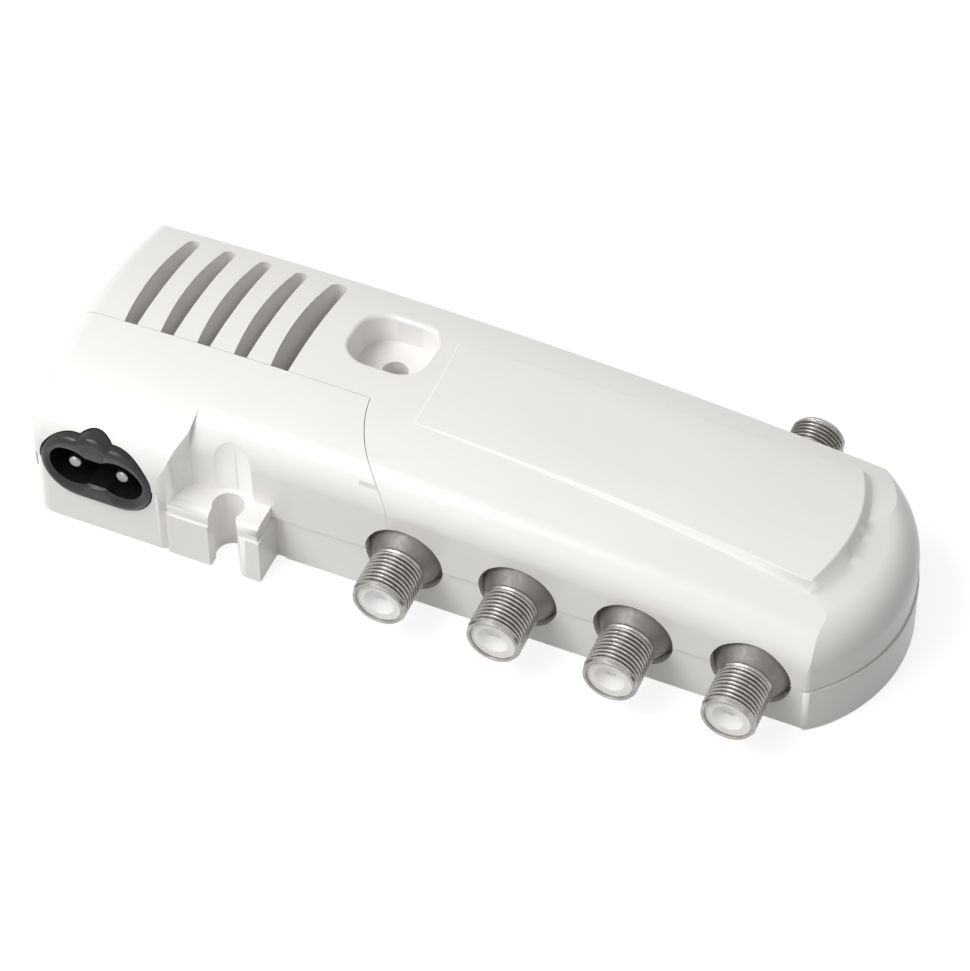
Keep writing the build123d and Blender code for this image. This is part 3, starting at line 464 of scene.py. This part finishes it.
def crown_surfaces():
    """The covers' curved outer surfaces, each as a function and its sizes."""
    back_reach = WALL_Y - APEX_Y
    back = (back_reach**2 + BACK_FALL**2) / (2 * BACK_FALL)
    front_reach = APEX_Y + WALL_Y - SHOULDER_RADIUS
    inner = (front_reach**2 + FRONT_FALL**2) / (2 * FRONT_FALL)
    front = inner + SHOULDER_RADIUS
    surfaces = []
    for fall in (CROWN_FALL, PANEL_FALL):
        surfaces.append((swung_arc, (fall, APEX_Y, CROWN_TOP - back, back)))
        surfaces.append((swung_arc, (fall, APEX_Y, CROWN_TOP - front, front)))
    for wall in (-WALL_Y, -WALL_Y - BLOCK_STEP):
        centre_y = wall + SHOULDER_RADIUS
        centre_z = CROWN_TOP - front + math.sqrt(inner**2 - (centre_y - APEX_Y) ** 2)
        surfaces.append((swung_arc, (CROWN_FALL, centre_y, centre_z, SHOULDER_RADIUS)))
    surfaces.append((turned_arc, (bow_radius() - SHOULDER_RADIUS, END_SHOULDER_Z, SHOULDER_RADIUS)))
    surfaces.append((turned_arc, (0.0, 0.0, bow_radius())))
    surfaces.append((turned_arc, (0.0, 0.0, bow_radius() - BASE_INSET)))
    return surfaces


def true_normals(mesh):
    """Normals of a housing piece from its real surfaces, where a triangle's corners lie on one.

    The panel's left edge, where it leaves the crown, takes the crown's own normals. A zero normal leaves
    a corner its smooth one.
    """
    corners = np.empty(len(mesh.loops), np.int32)
    mesh.loops.foreach_get("vertex_index", corners)
    facing = np.empty(len(mesh.polygons) * 3, np.float32)
    mesh.polygons.foreach_get("normal", facing)
    facing = facing.reshape(-1, 1, 3).astype(float)
    points = read_places(mesh).astype(float)[corners].reshape(-1, 3, 3)
    best = np.full(len(points), MATCH_DISTANCE)
    normals = np.zeros_like(points)
    for flat in ((1, 0, 0), (-1, 0, 0), (0, 1, 0), (0, -1, 0), (0, 0, 1), (0, 0, -1)):
        level = (facing[:, 0] @ np.array(flat, float)) > FLAT_FACING
        normals[level] = flat
    for surface, sizes in crown_surfaces():
        distance, normal = surface(points, *sizes)
        along = (normal * facing).sum(-1).min(1) > MATCH_FACING
        better = along & (distance.max(1) < best)
        best[better] = distance.max(1)[better]
        normals[better] = normal[better]
        if surface is swung_arc and sizes[0] == CROWN_FALL:
            middle = points[:, :, 0].mean(1)
            start = (middle > PANEL_START[0]) & (middle < PANEL_START[1])
            start &= (facing[:, 0, 2] > PANEL_START_FACING) & (distance.max(1) < PANEL_START_REACH)
            normals[start] = normal[start]
    return normals.reshape(-1, 3).tolist()


def finish_piece(piece, node, slot):
    """Material of a slot on a piece that stands for a CAD node, and its smooth shading.

    The base's end is pushed out once its normals are known, so that they stay those of its real surfaces.
    """
    piece.data.materials.clear()
    piece.data.materials.append(MATERIALS[slot])
    piece.data.shade_smooth()
    piece.data.set_sharp_from_angle(angle=math.radians(SMOOTH_ANGLE))
    if node in HOUSING:
        normals = true_normals(piece.data)
        if node == "base_tray":
            widen_base_end(piece)
        piece.data.normals_split_custom_set(normals)
    elif node not in CONNECTORS:
        # Normals weighted by area, so that broad faces stay flat beside narrow rounded ones
        weighted = piece.modifiers.new("weighted", "WEIGHTED_NORMAL")
        weighted.keep_sharp = True
    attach(piece, "root")
    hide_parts(node)


def welded_copy(node):
    """Copy of a CAD node with its triangles joined up, so that it can be shaded smooth."""
    mesh = frame["nodes"][node].data.copy()
    piece = bpy.data.objects.new(f"{node}_skin", mesh)
    scene.collection.objects.link(piece)
    work = bmesh.new()
    work.from_mesh(mesh)
    bmesh.ops.remove_doubles(work, verts=work.verts, dist=WELD)
    work.to_mesh(mesh)
    work.free()
    return piece


def widen_base_end(piece):
    """Push the base's bowed right wall out past the cover's, which leaves a narrow ledge on top."""
    places = read_places(piece.data)
    centre = np.array([HALF_LENGTH - bow_radius(), 0.0])
    away = places[:, :2] - centre
    reach = np.hypot(away[:, 0], away[:, 1])
    outer = reach > bow_radius() - 2 * BASE_INSET
    share = np.clip((places[:, 0] - LEDGE_STARTS) / (LEDGE_FULL - LEDGE_STARTS), 0, 1) * outer
    places[:, :2] += away * (LEDGE_OUT * share / np.maximum(reach, MM))[:, None]
    write_places(piece.data, places)


def widen_insulator(piece, x):
    """Push an insulator's outer wall out to the socket's bore, square to the port's axis."""
    places = read_places(piece.data)
    away = places[:, [0, 2]] - np.array([x, PORT_Z])
    reach = np.hypot(away[:, 0], away[:, 1])
    outer = reach > OUTER_WALL_SHARE * CAD_BORE_RADIUS
    grown = away[outer] * (BORE_RADIUS / reach[outer])[:, None]
    places[outer, 0] = x + grown[:, 0]
    places[outer, 2] = PORT_Z + grown[:, 1]
    write_places(piece.data, places)


def grid_faces(rows, columns):
    """Quads of a grid of points that closes on itself both ways."""
    row = np.arange(rows)[:, None]
    column = np.arange(columns)[None, :]
    next_row, next_column = (row + 1) % rows, (column + 1) % columns
    corners = [
        row * columns + column,
        row * columns + next_column,
        next_row * columns + next_column,
        next_row * columns + column,
    ]
    return np.stack([np.broadcast_to(c, (rows, columns)) for c in corners], -1).reshape(-1, 4)


def socket_profile():
    """Half-section of a socket as (radius, distance out of the wall, thread share), going round it.

    It goes up the flange, the neck and the threaded barrel, over the rim and back down the bore.
    """
    turns = (PORT_REACH - RIM_LENGTH - THREAD_FOOT) / THREAD_PITCH
    steps = int(turns * THREAD_STEPS)
    along = np.linspace(THREAD_FOOT, PORT_REACH - RIM_LENGTH, steps)
    ease = np.clip((along - THREAD_FOOT) / THREAD_PITCH, 0, 1)
    ease = ease * np.clip((along[-1] - along) / THREAD_RUN_OUT, 0, 1)
    thread = np.stack([np.full(steps, THREAD_RADIUS), along, ease], 1)
    before = [
        (BORE_RADIUS, BARREL_END, 0),
        (BARREL_RADIUS, BARREL_END, 0),
        (BARREL_RADIUS, FLANGE_BACK, 0),
        (FLANGE_RADIUS - FLANGE_EDGE, FLANGE_BACK, 0),
        (FLANGE_RADIUS, FLANGE_BACK + FLANGE_EDGE, 0),
        (FLANGE_RADIUS, FLANGE_FRONT - FLANGE_EDGE, 0),
        (FLANGE_RADIUS - FLANGE_EDGE, FLANGE_FRONT, 0),
        (NECK_RADIUS + FLANGE_EDGE, FLANGE_FRONT + COLLAR_RISE, 0),
        (NECK_RADIUS, FLANGE_FRONT + COLLAR_RISE + FLANGE_EDGE, 0),
        (NECK_RADIUS, THREAD_FOOT - RIM_CHAMFER, 0),
    ]
    after = [
        (THREAD_RADIUS - RIM_STEP[0], PORT_REACH - RIM_LENGTH + RIM_STEP[1], 0),
        (THREAD_RADIUS - RIM_CHAMFER, PORT_REACH - RIM_SHOULDER_DROP, 0),
        (THREAD_RADIUS - RIM_FACE_INSET, PORT_REACH, 0),
        (BORE_RADIUS + BORE_CHAMFER, PORT_REACH, 0),
        (BORE_RADIUS, PORT_REACH - BORE_CHAMFER, 0),
    ]
    return np.vstack([before, thread, after])


def socket_mesh(name, x, side):
    """Threaded socket: its profile turned about the port's axis, cut by a single-start thread.

    The radius drops by the thread's depth times half of one minus the cosine of a phase, which grows
    by one turn per pitch along the axis and per turn round it. Two flats limit the width.
    """
    radius, out, share = socket_profile().T[:, :, None]
    angle = np.linspace(0, 2 * np.pi, PORT_ANGLES, endpoint=False)[None, :]
    phase = out / THREAD_PITCH - side * angle / (2 * np.pi)
    groove = 0.5 - 0.5 * np.cos(2 * np.pi * phase)
    turned = radius - THREAD_DEPTH * share * groove
    across = turned * np.cos(angle)
    up = turned * np.sin(angle)
    on_thread = (out > THREAD_FOOT - RIM_CHAMFER) * (radius > BORE_RADIUS + BORE_MARGIN)
    across = np.where(on_thread, np.clip(across, -FLAT_WIDTH / 2, FLAT_WIDTH / 2), across)
    y = side * (WALL_Y + out) + 0 * angle
    points = np.stack([x + across, y, PORT_Z + up], -1).reshape(-1, 3)
    faces = grid_faces(radius.shape[0], PORT_ANGLES)
    piece = make_mesh(name, points, faces if side > 0 else faces[:, ::-1])
    # Groove depth on the points, which places the painted shade in the thread grooves
    groove_shade_mask = piece.data.attributes.new("groove", "FLOAT", "POINT")
    groove_shade_mask.data.foreach_set("value", (share * groove).ravel())
    return piece


def build_sockets():
    """The five threaded sockets, each in the place of its CAD connector."""
    for name in PORT_NAMES:
        low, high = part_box(f"{name}_connector")
        side = 1 if name == "input" else -1
        piece = socket_mesh(f"{name}_thread", (low.x + high.x) / 2, side)
        finish_piece(piece, f"{name}_connector", "nickel")


# Carried-over CAD nodes get their materials; the curved ones are shown by welded copies

for node, piece in frame["nodes"].items():
    slot = SLOT_OF[node]
    if node in CONNECTORS:
        continue
    if node in SMOOTHED:
        skin = welded_copy(node)
        if slot == "insulator":
            low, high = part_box(node)
            widen_insulator(skin, (low.x + high.x) / 2)
        finish_piece(skin, node, slot)
        continue
    for material_slot in piece.material_slots:
        material_slot.material = MATERIALS[slot]

build_sockets()


# Placement of the camera


def place_camera():
    """Camera at the fitted place, turned by its small roll."""
    az, el, roll = CAMERA_AZIMUTH, CAMERA_ELEVATION, CAMERA_ROLL
    back = Vector((math.sin(az) * math.cos(el), -math.cos(az) * math.cos(el), math.sin(el)))
    level = Vector((math.cos(az), math.sin(az), 0.0))
    rise = back.cross(level)
    right = level * math.cos(roll) + rise * math.sin(roll)
    up = rise * math.cos(roll) - level * math.sin(roll)
    data = bpy.data.cameras.new("camera")
    data.sensor_fit = "HORIZONTAL"
    data.sensor_width = SENSOR
    data.lens = CAMERA_LENS
    data.clip_start = CLIP_START
    camera = bpy.data.objects.new("camera", data)
    turn = Matrix((right, up, back)).transposed().to_4x4()
    camera.matrix_world = Matrix.Translation(CAMERA_TARGET + back * CAMERA_DISTANCE) @ turn
    scene.collection.objects.link(camera)
    scene.camera = camera


place_camera()


# Lights, world and floor


def area_lamp(name, place, aim, size, power):
    """Rectangular area lamp at a place, turned to face a point."""
    data = bpy.data.lights.new(name, "AREA")
    data.shape = "RECTANGLE"
    data.size, data.size_y = size
    data.energy = power
    lamp = bpy.data.objects.new(name, data)
    direction = Vector(aim) - Vector(place)
    lamp.location = place
    lamp.rotation_euler = direction.to_track_quat("-Z", "Y").to_euler()
    scene.collection.objects.link(lamp)


def background_ray(tree):
    """1 where a ray comes from the camera, a reflection or through glass."""
    path = tree.nodes.new("ShaderNodeLightPath")
    seen = math_node(tree, "MAXIMUM", path.outputs["Is Camera Ray"], path.outputs["Is Glossy Ray"])
    return math_node(tree, "MAXIMUM", seen, path.outputs["Is Transmission Ray"])


def set_world():
    """Pale light, stronger from the lit side, and plain white where the camera sees past the floor."""
    world = bpy.data.worlds.new("studio")
    world.use_nodes = True
    tree = world.node_tree
    background = tree.nodes["Background"]
    background.inputs["Color"].default_value = (1.0, 1.0, 1.0, 1.0)
    toward = tree.nodes.new("ShaderNodeVectorMath")
    toward.operation = "DOT_PRODUCT"
    tree.links.new(tree.nodes.new("ShaderNodeTexCoord").outputs["Generated"], toward.inputs[0])
    toward.inputs[1].default_value = LIT_SIDE
    ambient = map_range(
        tree, toward.outputs["Value"], -AMBIENT_SPREAD, AMBIENT_SPREAD, AMBIENT_DARK_SIDE, AMBIENT_LIT_SIDE
    )
    strength = tree.nodes.new("ShaderNodeMapRange")
    tree.links.new(background_ray(tree), strength.inputs["Value"])
    tree.links.new(ambient, strength.inputs["To Min"])
    strength.inputs["To Max"].default_value = 1.0
    tree.links.new(strength.outputs["Result"], background.inputs["Strength"])
    scene.world = world


def make_floor():
    """Plain pale floor under the object, which shows as white away from its shadow."""
    half = FLOOR_SIZE / 2
    corners = np.array([(-half, -half, 0), (half, -half, 0), (half, half, 0), (-half, half, 0)])
    floor = make_mesh("floor", corners, np.array([(0, 1, 2, 3)]))
    material = bpy.data.materials.new("floor_white")
    material.use_nodes = True
    tree = material.node_tree
    shader = tree.nodes["Principled BSDF"]
    shader.inputs["Base Color"].default_value = (FLOOR_GREY, FLOOR_GREY, FLOOR_GREY, 1.0)
    shader.inputs["Roughness"].default_value = FLOOR_ROUGHNESS
    shader.inputs["Specular IOR Level"].default_value = 0.0
    shader.inputs["Emission Color"].default_value = (1.0, 1.0, 1.0, 1.0)
    lift = math_node(tree, "MULTIPLY", background_ray(tree), FLOOR_LIFT)
    tree.links.new(lift, shader.inputs["Emission Strength"])
    floor.data.materials.append(material)


scene.view_settings.view_transform = "Standard"
set_world()
make_floor()
for lamp in LAMPS:
    area_lamp(*lamp)
